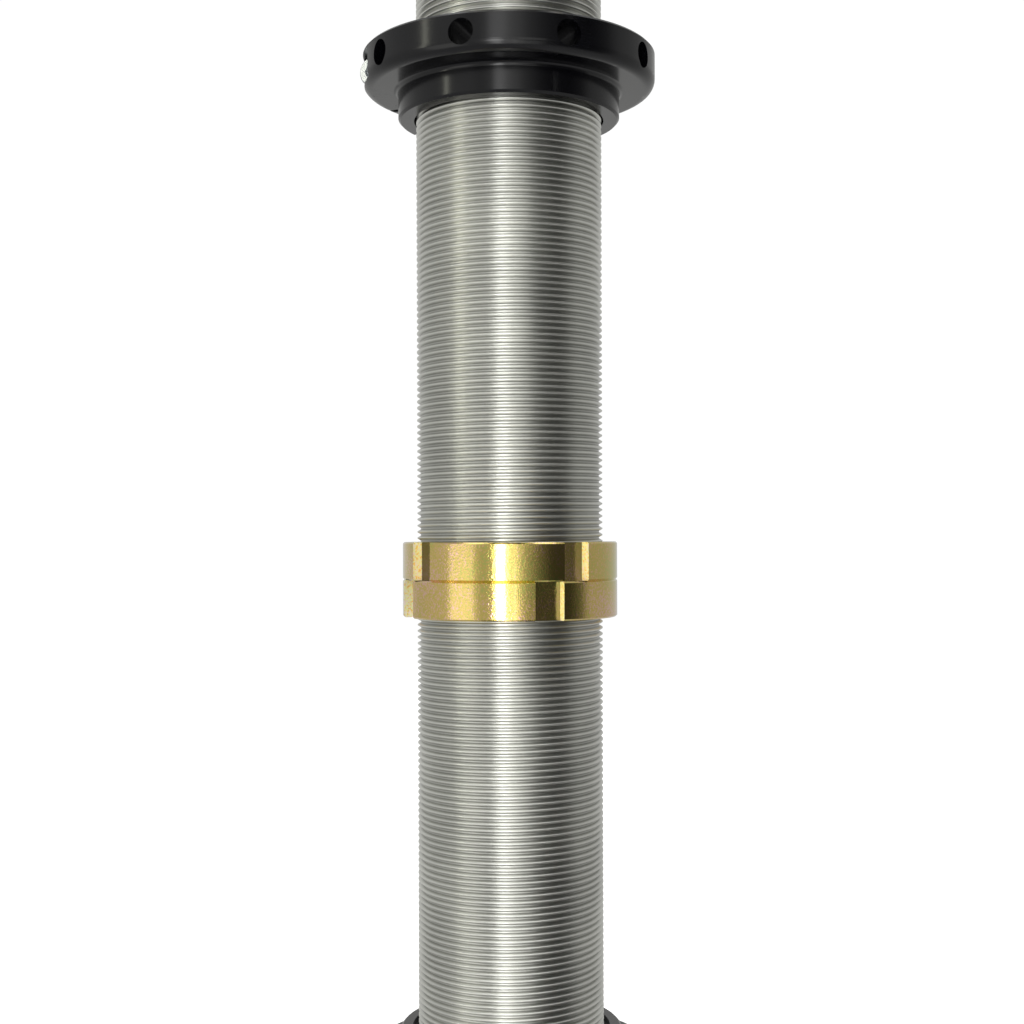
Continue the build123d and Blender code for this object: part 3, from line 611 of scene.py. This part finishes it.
def milledWalls(tree, place, colour, rough, look):
    # The walls of the notches: speckled and duller than the turned faces. They are painted paler than the
    # plating elsewhere as a painted highlight, and darkened as painted shade where mirrored.
    milled = look["cut"]
    cut = useGroup(tree, cutWalls, place)
    facing = tree.nodes.new("ShaderNodeTexCoord")
    tree.links.new(facing.outputs["Normal"], cut.node.inputs["Normal"])
    speckle = useGroup(tree, cloudTone, place, Size=milled["speckle"], Contrast=milled["contrast"])
    # The film's own speckle, in colours paler than the plating elsewhere: a painted highlight.
    speckleAndHighlight = colourRamp(tree, speckle, milled["colours"])
    # A wall that a mirrored ray meets is darkened, so the floor of its notch mirrors it dim: painted shade.
    path = tree.nodes.new("ShaderNodeLightPath")
    paintedMirrorShade = mathNode(tree, "MULTIPLY_ADD", path.outputs["Is Glossy Ray"], -milled["mirroredShade"], 1)
    mix = tree.nodes.new("ShaderNodeMix")
    mix.data_type = "RGBA"
    tree.links.new(cut, mix.inputs[0])
    tree.links.new(colour, mix.inputs[6])
    tree.links.new(vectorNode(tree, "SCALE", speckleAndHighlight, scale=paintedMirrorShade), mix.inputs[7])
    duller = mathNode(tree, "SUBTRACT", milled["rough"], rough)
    rough = mathNode(tree, "MULTIPLY_ADD", cut, duller, rough)
    metallic = spread(tree, cut, look["metallic"], milled["metallic"])
    return mix.outputs[2], rough, metallic


# What machined metals share unless a finish says otherwise; rises and depths are in micrometres.
machined = {
    "metallic": 1.0, "specular": 0.5, "coat": 0.0, "ringSpread": 0.8, "ringTone": 0.5, "cloudContrast": 1.4,
    "grainContrast": 2.0, "grainTone": 0.2, "nicks": 60.0, "nickAmount": 0.16, "nickDepth": 3.0,
    "nickRough": 0.12,
}
micrometre = 0.000001


def turnedMetal(name, finish, turn=(0, 0, 0), shift=(0, 0, 0)):
    # Machined metal: lathe rings, uneven plating, a fine grain and a few scratches.
    look = {**machined, **finish}
    material, tree, bsdf = newMaterial(name)
    place = objectPlace(tree, shift, turn)
    marks = useGroup(tree, latheMarks, place, Density=look["rings"], Spread=look["ringSpread"])
    cloud = useGroup(tree, cloudTone, place, Size=look["cloud"], Contrast=look["cloudContrast"])
    grain = useGroup(tree, cloudTone, place, Size=look["grain"], Contrast=look["grainContrast"])
    nicks = useGroup(tree, scratches, place, Density=look["nicks"], Amount=look["nickAmount"])
    offMarks = mathNode(tree, "SUBTRACT", marks, 0.5)
    offGrain = mathNode(tree, "SUBTRACT", grain, 0.5)
    tone = mathNode(tree, "MULTIPLY_ADD", offMarks, look["ringTone"], cloud)
    tone = mathNode(tree, "MULTIPLY_ADD", offGrain, look["grainTone"], tone)
    colour = colourRamp(tree, tone, look["colours"])
    rough = mathNode(tree, "MULTIPLY_ADD", nicks, look["nickRough"], spread(tree, marks, *look["rough"]))
    bsdf.inputs["Metallic"].default_value = look["metallic"]
    if "radiusTone" in look:
        colour = radiusDarkening(tree, place, colour, look["radiusTone"])
    if "cut" in look:
        colour, rough, metallic = milledWalls(tree, place, colour, rough, look)
        tree.links.new(metallic, bsdf.inputs["Metallic"])
    tree.links.new(colour, bsdf.inputs["Base Color"])
    tree.links.new(rough, bsdf.inputs["Roughness"])
    bsdf.inputs["Specular IOR Level"].default_value = look["specular"]
    bsdf.inputs["Coat Weight"].default_value = look["coat"]
    height = mathNode(tree, "MULTIPLY", grain, look["grainRise"])
    height = mathNode(tree, "MULTIPLY_ADD", marks, look["ringRise"], height)
    height = mathNode(tree, "MULTIPLY_ADD", nicks, -look["nickDepth"], height)
    bump(tree, bsdf, height, 1.0, micrometre)
    return material


finishes = {
    "plated_tube": {
        "colours": [(0.25, (0.76, 0.765, 0.72)), (0.75, (0.88, 0.885, 0.83))], "rough": (0.24, 0.36),
        "radiusTone": {"root": 30.75, "crest": 31.70, "darkest": 0.68},  # radii in mm
        "rings": 2600.0, "ringRise": 3.0, "cloud": 45.0, "grain": 1600.0, "grainRise": 1.0,
        "nickDepth": 1.0,
    },
    "black_anodised": {
        "colours": [(0.2, (0.0012, 0.0012, 0.0020)), (0.8, (0.0022, 0.0022, 0.0032))],
        "rough": (0.15, 0.21), "metallic": 0.0, "specular": 0.43, "rings": 2200.0, "ringRise": 1.5,
        "cloud": 70.0, "grain": 2600.0, "grainTone": 0.4, "grainRise": 0.8, "nickDepth": 1.0,
    },
    "clear_aluminium": {
        "colours": [(0.2, (0.60, 0.61, 0.62)), (0.8, (0.70, 0.71, 0.72))], "rough": (0.24, 0.40),
        "rings": 1800.0, "ringRise": 7.0, "cloud": 60.0, "grain": 2200.0, "grainRise": 1.5,
        "nickAmount": 0.2,
    },
    "yellow_zinc": {
        "colours": [(0.20, (0.64, 0.61, 0.15)), (0.40, (0.76, 0.57, 0.14)), (0.60, (0.82, 0.60, 0.19)),
                    (0.80, (0.92, 0.58, 0.44))],
        "rough": (0.05, 0.09), "coat": 0.9, "rings": 1500.0, "ringSpread": 0.4, "ringTone": 0.2,
        "ringRise": 1.0, "cloud": 46.0, "grain": 1500.0, "grainTone": 0.9, "grainRise": 22.0,
        "nicks": 70.0, "nickAmount": 0.14, "nickDepth": 2.0,
        # Notch walls: the film's own speckle, painted paler as a painted highlight; mirroredShade is the
        # painted shade of a wall seen mirrored.
        "cut": {"colours": [(0.15, (0.95, 0.60, 0.16)), (0.4, (1.00, 0.94, 0.46)),
                            (0.6, (0.90, 1.00, 0.60)), (0.85, (1.00, 0.78, 0.78))],
                "speckle": 1400.0, "contrast": 3.0, "mirroredShade": 0.94, "rough": 0.30, "metallic": 0.2},
    },
    "hard_chrome": {
        "colours": [(0.2, (0.74, 0.75, 0.76)), (0.8, (0.80, 0.81, 0.82))], "rough": (0.05, 0.09),
        "rings": 3000.0, "ringTone": 0.3, "ringRise": 1.0, "cloud": 40.0, "grain": 2600.0, "grainTone": 0.1,
        "grainRise": 0.3, "nickAmount": 0.12, "nickDepth": 1.0,
    },
    "bearing_steel": {
        "colours": [(0.2, (0.50, 0.50, 0.51)), (0.8, (0.60, 0.60, 0.61))], "rough": (0.14, 0.24),
        "rings": 2400.0, "ringTone": 0.4, "ringRise": 2.5, "cloud": 90.0, "grain": 2600.0, "grainTone": 0.1,
        "grainRise": 0.5, "nickDepth": 2.0,
    },
    "black_spring_steel": {
        "colours": [(0.2, (0.030, 0.030, 0.032)), (0.8, (0.055, 0.055, 0.056))], "rough": (0.36, 0.50),
        "metallic": 0.85, "rings": 1500.0, "ringRise": 5.0, "cloud": 120.0, "grain": 1800.0,
        "grainTone": 0.4, "grainRise": 3.0, "nicks": 80.0, "nickAmount": 0.2,
    },
    "brass": {
        "colours": [(0.2, (0.58, 0.42, 0.16)), (0.8, (0.72, 0.55, 0.25))], "rough": (0.22, 0.34),
        "rings": 1800.0, "ringRise": 5.0, "cloud": 120.0, "grain": 2000.0, "grainRise": 1.5, "nicks": 80.0,
    },
    "bushing_bronze": {
        "colours": [(0.2, (0.26, 0.16, 0.09)), (0.8, (0.42, 0.28, 0.16))], "rough": (0.40, 0.55),
        "metallic": 0.9, "rings": 1500.0, "ringSpread": 0.7, "ringTone": 0.4, "ringRise": 6.0,
        "cloud": 200.0, "grain": 1500.0, "grainTone": 0.6, "grainRise": 6.0, "nicks": 80.0,
    },
    "zinc_screw": {
        "colours": [(0.2, (0.62, 0.64, 0.66)), (0.8, (0.74, 0.76, 0.77))], "rough": (0.12, 0.22),
        "rings": 2200.0, "ringTone": 0.4, "ringRise": 3.0, "cloud": 150.0, "grain": 2400.0,
        "grainTone": 0.3, "grainRise": 2.0, "nicks": 80.0, "nickDepth": 2.0,
    },
}
materials = {slot: turnedMetal(slot, look) for slot, look in finishes.items()}

moulded = {"cloudContrast": 1.5, "grainContrast": 1.8, "grainRise": 0.0001}  # the rise is in m


def softMaterial(name, look):
    # Rubber, foam and plastics: a mottled skin with a fine grain.
    material, tree, bsdf = newMaterial(name)
    place = objectPlace(tree)
    tone = useGroup(tree, cloudTone, place, Size=look["cloud"], Contrast=moulded["cloudContrast"])
    grain = useGroup(tree, cloudTone, place, Size=look["grain"], Contrast=moulded["grainContrast"])
    tree.links.new(colourRamp(tree, tone, look["colours"]), bsdf.inputs["Base Color"])
    tree.links.new(spread(tree, grain, *look["rough"]), bsdf.inputs["Roughness"])
    bsdf.inputs["Specular IOR Level"].default_value = look["specular"]
    bump(tree, bsdf, grain, look["bump"], moulded["grainRise"])
    return material


softFinishes = {
    "black_rubber": {"colours": [(0.2, (0.012, 0.012, 0.012)), (0.8, (0.025, 0.025, 0.024))],
                     "rough": (0.5, 0.68), "specular": 0.35, "cloud": 160.0, "grain": 1800.0,
                     "bump": 0.25},
    "ptfe_band": {"colours": [(0.2, (0.05, 0.12, 0.09)), (0.8, (0.09, 0.18, 0.13))],
                  "rough": (0.42, 0.55), "specular": 0.4, "cloud": 140.0, "grain": 1500.0, "bump": 0.12},
    "black_acetal": {"colours": [(0.2, (0.014, 0.014, 0.015)), (0.8, (0.026, 0.026, 0.027))],
                     "rough": (0.36, 0.50), "specular": 0.45, "cloud": 110.0, "grain": 1400.0,
                     "bump": 0.10},
    "bump_foam": {"colours": [(0.2, (0.016, 0.016, 0.016)), (0.8, (0.034, 0.033, 0.032))],
                  "rough": (0.6, 0.8), "specular": 0.3, "cloud": 120.0, "grain": 1100.0, "bump": 0.6},
}
materials.update({slot: softMaterial(slot, look) for slot, look in softFinishes.items()})

slots = {part["node"]: part["material_slot"] for part in record["subparts"]}


def eyeMaterials(eyeName):
    # Pieces turned about an eye's cross axis get their lathe rings round that axis.
    centre = (0, sizeOf(eyeName + "_ball")["middle"] * mm, 0)
    toAxis = (math.radians(90), 0, 0)
    made = {}
    found = {}
    for piece in ("ball", "bearing_race", "bearing_clips", "spacers"):
        nodeName = eyeName + "_" + piece
        slot = slots[nodeName]
        if slot not in made:
            made[slot] = turnedMetal(slot + "_" + eyeName, finishes[slot], toAxis, centre)
        found[nodeName] = made[slot]
    return found


nodeMaterials = {**eyeMaterials("upper"), **eyeMaterials("lower")}
for nodeName, slot in slots.items():
    cadNode = nodes[nodeName]
    cadNode.data.materials.clear()
    cadNode.data.materials.append(nodeMaterials.get(nodeName, materials[slot]))
print("materials ready:", len(bpy.data.materials))

# Lengths in mm; the trees further down take them as they are.
barrel = sizeOf("cylinder_tube")
tube = {
    "Radius": barrel["radius"], "Low": barrel["low"], "High": barrel["high"], "Pitch": 25.4 / 12,
    "Crest": 0.09, "Shoulder": 0.05, "ShoulderDrop": 0.07, "Root": 0.20, "Depth": 1.2, "Bevel": 1.3,
    "Phase": 0.0, "Segments": 64,
}
tubeInside = {"wall": 3.175, "groove": 1.6}  # the groove holds the ring under the seal head
rowsPerPitch = 6  # the ends of the crest, of its two rounded shoulders and of the root


def threadTree():
    # A sheet rolled round Z and sheared by one pitch a turn, so its rows run along the thread.
    tree, given, out = newTree("bodyThread", {**tube, "Rows": rowsPerPitch})
    size = given.outputs
    sheet, column, row = rolledSheet(tree, size["Segments"], size["Rows"])
    turn = mathNode(tree, "DIVIDE", column, size["Segments"])
    # The quarter row keeps rounding from moving a row to the pitch below.
    pitches = mathNode(tree, "DIVIDE", mathNode(tree, "ADD", row, 0.25), rowsPerPitch)
    whole = mathNode(tree, "FLOOR", pitches)
    step = mathNode(tree, "MULTIPLY_ADD", whole, -rowsPerPitch, row)
    flats = mathNode(tree, "ADD", size["Crest"], size["Root"])
    halfPitch = mathNode(tree, "SUBTRACT", 0.5, size["Shoulder"])
    flank = mathNode(tree, "MULTIPLY_ADD", flats, -0.5, halfPitch)
    share = 0
    for after, width in enumerate((size["Crest"], size["Shoulder"], flank, size["Root"], flank)):
        passed = mathNode(tree, "GREATER_THAN", step, after + 0.5)
        share = mathNode(tree, "MULTIPLY_ADD", passed, width, share)
    # Rows 2 to 5 lie at the foot of the shoulders or lower, and rows 3 and 4 in the root.
    fromRoot = mathNode(tree, "ABSOLUTE", mathNode(tree, "SUBTRACT", step, 3.5))
    onFlank = mathNode(tree, "LESS_THAN", fromRoot, 2)
    inRoot = mathNode(tree, "LESS_THAN", fromRoot, 1)
    further = mathNode(tree, "SUBTRACT", size["Depth"], size["ShoulderDrop"])
    drop = mathNode(tree, "MULTIPLY", onFlank, size["ShoulderDrop"])
    drop = mathNode(tree, "MULTIPLY_ADD", inRoot, further, drop)
    turned = mathNode(tree, "ADD", turn, size["Phase"])
    climb = mathNode(tree, "ADD", mathNode(tree, "ADD", whole, share), turned)
    # The sheet runs past both ends of the tube and is pressed flat against them.
    start = mathNode(tree, "MULTIPLY_ADD", size["Pitch"], -2, size["Low"])
    free = mathNode(tree, "MULTIPLY_ADD", climb, size["Pitch"], start)
    high = mathNode(tree, "MINIMUM", mathNode(tree, "MAXIMUM", free, size["Low"]), size["High"])
    crest = mathNode(tree, "SUBTRACT", size["Radius"], drop)
    foot = mathNode(tree, "SUBTRACT", size["Radius"], size["Bevel"])
    fromLow = mathNode(tree, "ADD", foot, mathNode(tree, "SUBTRACT", high, size["Low"]))
    fromHigh = mathNode(tree, "ADD", foot, mathNode(tree, "SUBTRACT", size["High"], high))
    radius = mathNode(tree, "MINIMUM", mathNode(tree, "MINIMUM", crest, fromLow), fromHigh)
    angle = mathNode(tree, "MULTIPLY", turn, 2 * math.pi)
    endTree(tree, placeRound(tree, sheet, radius, angle, high), given, out)
    return tree


def makeTube():
    length = tube["High"] - tube["Low"]
    rows = rowsPerPitch * (math.ceil(length / tube["Pitch"]) + 3)
    mesh = bakeTree("threadedTube", threadTree(), {**tube, "Rows": rows}, materials["plated_tube"])
    shape = bmesh.new()
    shape.from_mesh(mesh)
    foot = tube["Radius"] - tube["Bevel"]
    bore = tube["Radius"] - tubeInside["wall"]
    groove = bore + tubeInside["groove"]
    held = sizeOf("seal_head_ring")
    profile = [
        (foot, tube["High"]), (bore, tube["High"]), (bore, held["high"]), (groove, held["high"]),
        (groove, held["low"]), (bore, held["low"]), (bore, tube["Low"]), (foot, tube["Low"]),
    ]
    latheRings(shape, profile, tube["Segments"])
    openEdges = closeMesh(mesh, shape, sharpAngles["thread"])
    finishPiece("threadedTube", mesh, "cylinder", "cylinder_tube")
    print("threaded tube:", len(mesh.polygons), "faces,", openEdges, "open edges")


makeTube()

# Seal rings squeezed in their grooves: thick across a groove and tall along the tube, in mm.
sealRings = {
    "topCapRing": {"replaces": "top_cap_oring", "body": "cylinder", "thick": 2.25, "tall": 3.1},
    "sealHeadRing": {"replaces": "seal_head_oring", "body": "cylinder", "thick": 2.25, "tall": 3.1},
    "floatingPistonRing": {"replaces": "floating_piston_oring", "body": "floating_piston", "thick": 2.2,
                           "tall": 3.1},
    "pistonRing": {"replaces": "piston_oring", "body": "rod", "thick": 2.0, "tall": 3.0},
}
sealRingSizes = {"Middle": 27.45, "Deep": 1.125, "Tall": 1.55, "Height": 0.0, "Segments": 96, "Round": 20}


def sealRingTree():
    tree, given, out = newTree("sealRing", sealRingSizes)
    size = given.outputs
    sheet, column, row = rolledSheet(tree, size["Segments"], size["Round"])
    angle = mathNode(tree, "MULTIPLY", mathNode(tree, "DIVIDE", column, size["Segments"]), 2 * math.pi)
    around = mathNode(tree, "MULTIPLY", mathNode(tree, "DIVIDE", row, size["Round"]), 2 * math.pi)
    radius = mathNode(tree, "MULTIPLY_ADD", mathNode(tree, "COSINE", around), size["Deep"], size["Middle"])
    height = mathNode(tree, "MULTIPLY_ADD", mathNode(tree, "SINE", around), size["Tall"], size["Height"])
    endTree(tree, placeRound(tree, sheet, radius, angle, height), given, out)
    return tree


def makeSealRings():
    tree = sealRingTree()
    for name, ring in sealRings.items():
        solid = sizeOf(ring["replaces"])
        sizes = {
            "Middle": solid["radius"] - ring["thick"] / 2, "Deep": ring["thick"] / 2,
            "Tall": ring["tall"] / 2, "Height": solid["middle"],
        }
        mesh = bakeTree(name, tree, sizes, materials["black_rubber"])
        shape = bmesh.new()
        shape.from_mesh(mesh)
        openEdges = closeMesh(mesh, shape, sharpAngles["sealRing"])
        finishPiece(name, mesh, ring["body"], ring["replaces"])
        print(name + ":", len(mesh.polygons), "faces,", openEdges, "open edges")


makeSealRings()

cornerShare = 0.45  # the most of a side that the curve of one corner takes up


def roundedOutline(points, radius, steps=4):
    # Rounds each corner of a closed outline of (radius, height) points with a short curve.
    outline = []
    for index, corner in enumerate(points):
        here = Vector(corner)
        before = Vector(points[index - 1]) - here
        after = Vector(points[(index + 1) % len(points)]) - here
        reach = min(radius, before.length * cornerShare, after.length * cornerShare)
        first = here + before.normalized() * reach
        last = here + after.normalized() * reach
        for step in range(steps + 1):
            share = step / steps
            point = first * (1 - share) ** 2 + here * 2 * share * (1 - share) + last * share ** 2
            outline.append(tuple(point))
    return outline


def makeLathed(name, outline, look, segments=96):
    mesh = bpy.data.meshes.new(name)
    shape = bmesh.new()
    latheRings(shape, outline, segments, closed=True)
    openEdges = closeMesh(mesh, shape, sharpAngles["lathed"])
    mesh.materials.append(materials[look["slot"]])
    finishPiece(name, mesh, look["body"], look["replaces"])
    print(name + ":", len(mesh.polygons), "faces,", openEdges, "open edges")


rodRadius = sizeOf("piston_rod")["radius"]
rodPlay = 0.05  # mm between the rod and the lips that wipe it
rodSeal = {
    "slot": "black_rubber", "body": "cylinder", "replaces": "rod_seal", "lipStart": 1.0, "lipWall": 0.8,
    "mouth": 3.6, "round": 0.45,
}
rodWiper = {
    "slot": "black_rubber", "body": "cylinder", "replaces": "rod_wiper", "tall": 7.0, "lip": 1.5,
    "back": 1.2, "wall": 2.4, "round": 0.4,
}


def makeRodSeals():
    # A U-cup whose lips open towards the oil, and a wiper whose lip points down at the dirt.
    inner = rodRadius + rodPlay
    solid = sizeOf(rodSeal["replaces"])
    outer, low, high = solid["radius"], solid["low"], solid["high"]
    shoulder = high - rodSeal["lipStart"]
    cup = [
        (inner, low), (outer, low), (outer, shoulder), (outer - rodSeal["lipWall"], high),
        ((inner + outer) / 2, high - rodSeal["mouth"]), (inner + rodSeal["lipWall"], high),
        (inner, shoulder),
    ]
    makeLathed("rodSeal", roundedOutline(cup, rodSeal["round"]), rodSeal)
    solid = sizeOf(rodWiper["replaces"])
    outer, low, high = solid["radius"], solid["low"], solid["high"]
    base = high - rodWiper["tall"]
    scraper = [
        (inner + rodWiper["back"], high), (outer, high), (outer, base), (inner + rodWiper["wall"], base),
        (inner, low), (inner, low + rodWiper["lip"]), (inner + rodWiper["back"], base + rodWiper["lip"]),
    ]
    makeLathed("rodWiper", roundedOutline(scraper, rodWiper["round"]), rodWiper)


makeRodSeals()

bumpStop = {
    "slot": "bump_foam", "body": "rod", "replaces": "bump_stop", "bore": 11.2, "radius": 22.0, "tip": 18.0,
    "low": -786.525, "high": -758.525, "waists": (-777.192, -767.858), "waistDepth": 4.0, "waistReach": 4.0,
    "tipReach": 5.2, "foot": 0.8, "levels": 56,
}


def makeBumpStop():
    # Moulded foam: soft waists and a rounded tip.
    look = bumpStop
    outline = [(look["bore"], look["high"]), (look["bore"], look["low"])]
    for level in range(look["levels"] + 1):
        height = look["low"] + (look["high"] - look["low"]) * level / look["levels"]
        radius = look["radius"]
        for waist in look["waists"]:
            away = abs(height - waist) / look["waistReach"]
            if away < 1:
                radius -= look["waistDepth"] * (1 + math.cos(math.pi * away)) / 2
        tip = max(0, height - look["high"] + look["tipReach"]) / look["tipReach"]
        radius -= (look["radius"] - look["tip"]) * (1 - math.sqrt(1 - tip * tip))
        foot = max(0, 1 - (height - look["low"]) / look["foot"])
        radius -= look["foot"] * (1 - math.sqrt(1 - foot * foot))
        outline.append((radius, height))
    makeLathed("bumpStop", outline, look)


makeBumpStop()

# Straight knurl round the clamp screw's head, in the frame of the clamp slot; lengths in mm.
screwGrip = {
    "turn": -207.5, "out": 39.3, "start": 20.3,
    "ridges": {"HeadRadius": 5.0, "Proud": 0.14, "Side": 0.42, "Length": 4.3, "Count": 48},
}


def gripTree():
    # Square bars stand on edge round the head, sunk until only a low ridge shows.
    tree, given, out = newTree("gripRidges", screwGrip["ridges"])
    link = tree.links.new
    size = given.outputs
    halfDiagonal = mathNode(tree, "MULTIPLY", size["Side"], math.sqrt(0.5))
    top = mathNode(tree, "ADD", size["HeadRadius"], size["Proud"])
    reach = mathNode(tree, "MULTIPLY", mathNode(tree, "SUBTRACT", top, halfDiagonal), mm)
    circle = tree.nodes.new("GeometryNodeMeshCircle")
    link(size["Count"], circle.inputs["Vertices"])
    link(reach, circle.inputs["Radius"])
    block = tree.nodes.new("ShaderNodeCombineXYZ")
    side = mathNode(tree, "MULTIPLY", size["Side"], mm)
    link(side, block.inputs[0])
    link(side, block.inputs[1])
    link(mathNode(tree, "MULTIPLY", size["Length"], mm), block.inputs[2])
    bar = tree.nodes.new("GeometryNodeMeshCube")
    link(block.outputs[0], bar.inputs["Size"])
    index = tree.nodes.new("GeometryNodeInputIndex")
    share = mathNode(tree, "DIVIDE", index.outputs[0], size["Count"])
    turn = tree.nodes.new("ShaderNodeCombineXYZ")
    link(mathNode(tree, "MULTIPLY_ADD", share, 2 * math.pi, math.pi / 4), turn.inputs[2])
    copies = tree.nodes.new("GeometryNodeInstanceOnPoints")
    link(circle.outputs["Mesh"], copies.inputs["Points"])
    link(bar.outputs["Mesh"], copies.inputs["Instance"])
    link(turn.outputs[0], copies.inputs["Rotation"])
    endTree(tree, copies.outputs[0], given, out)
    return tree


def makeScrewGrip():
    mesh = bakeTree("screwGrip", gripTree(), screwGrip["ridges"], materials["zinc_screw"])
    along = screwGrip["start"] + screwGrip["ridges"]["Length"] / 2
    middle = Vector((screwGrip["out"], along, sizeOf("pinch_screw")["middle"]))
    place = Matrix.Rotation(math.radians(screwGrip["turn"]), 4, "Z")
    place @= Matrix.Translation(middle * mm)
    mesh.transform(place @ Matrix.Rotation(math.radians(-90), 4, "X"))
    smoothShade(mesh, sharpAngles["grip"])
    finishPiece("screwGrip", mesh, "preload_nut")
    print("screw grip:", len(mesh.polygons), "faces")


makeScrewGrip()
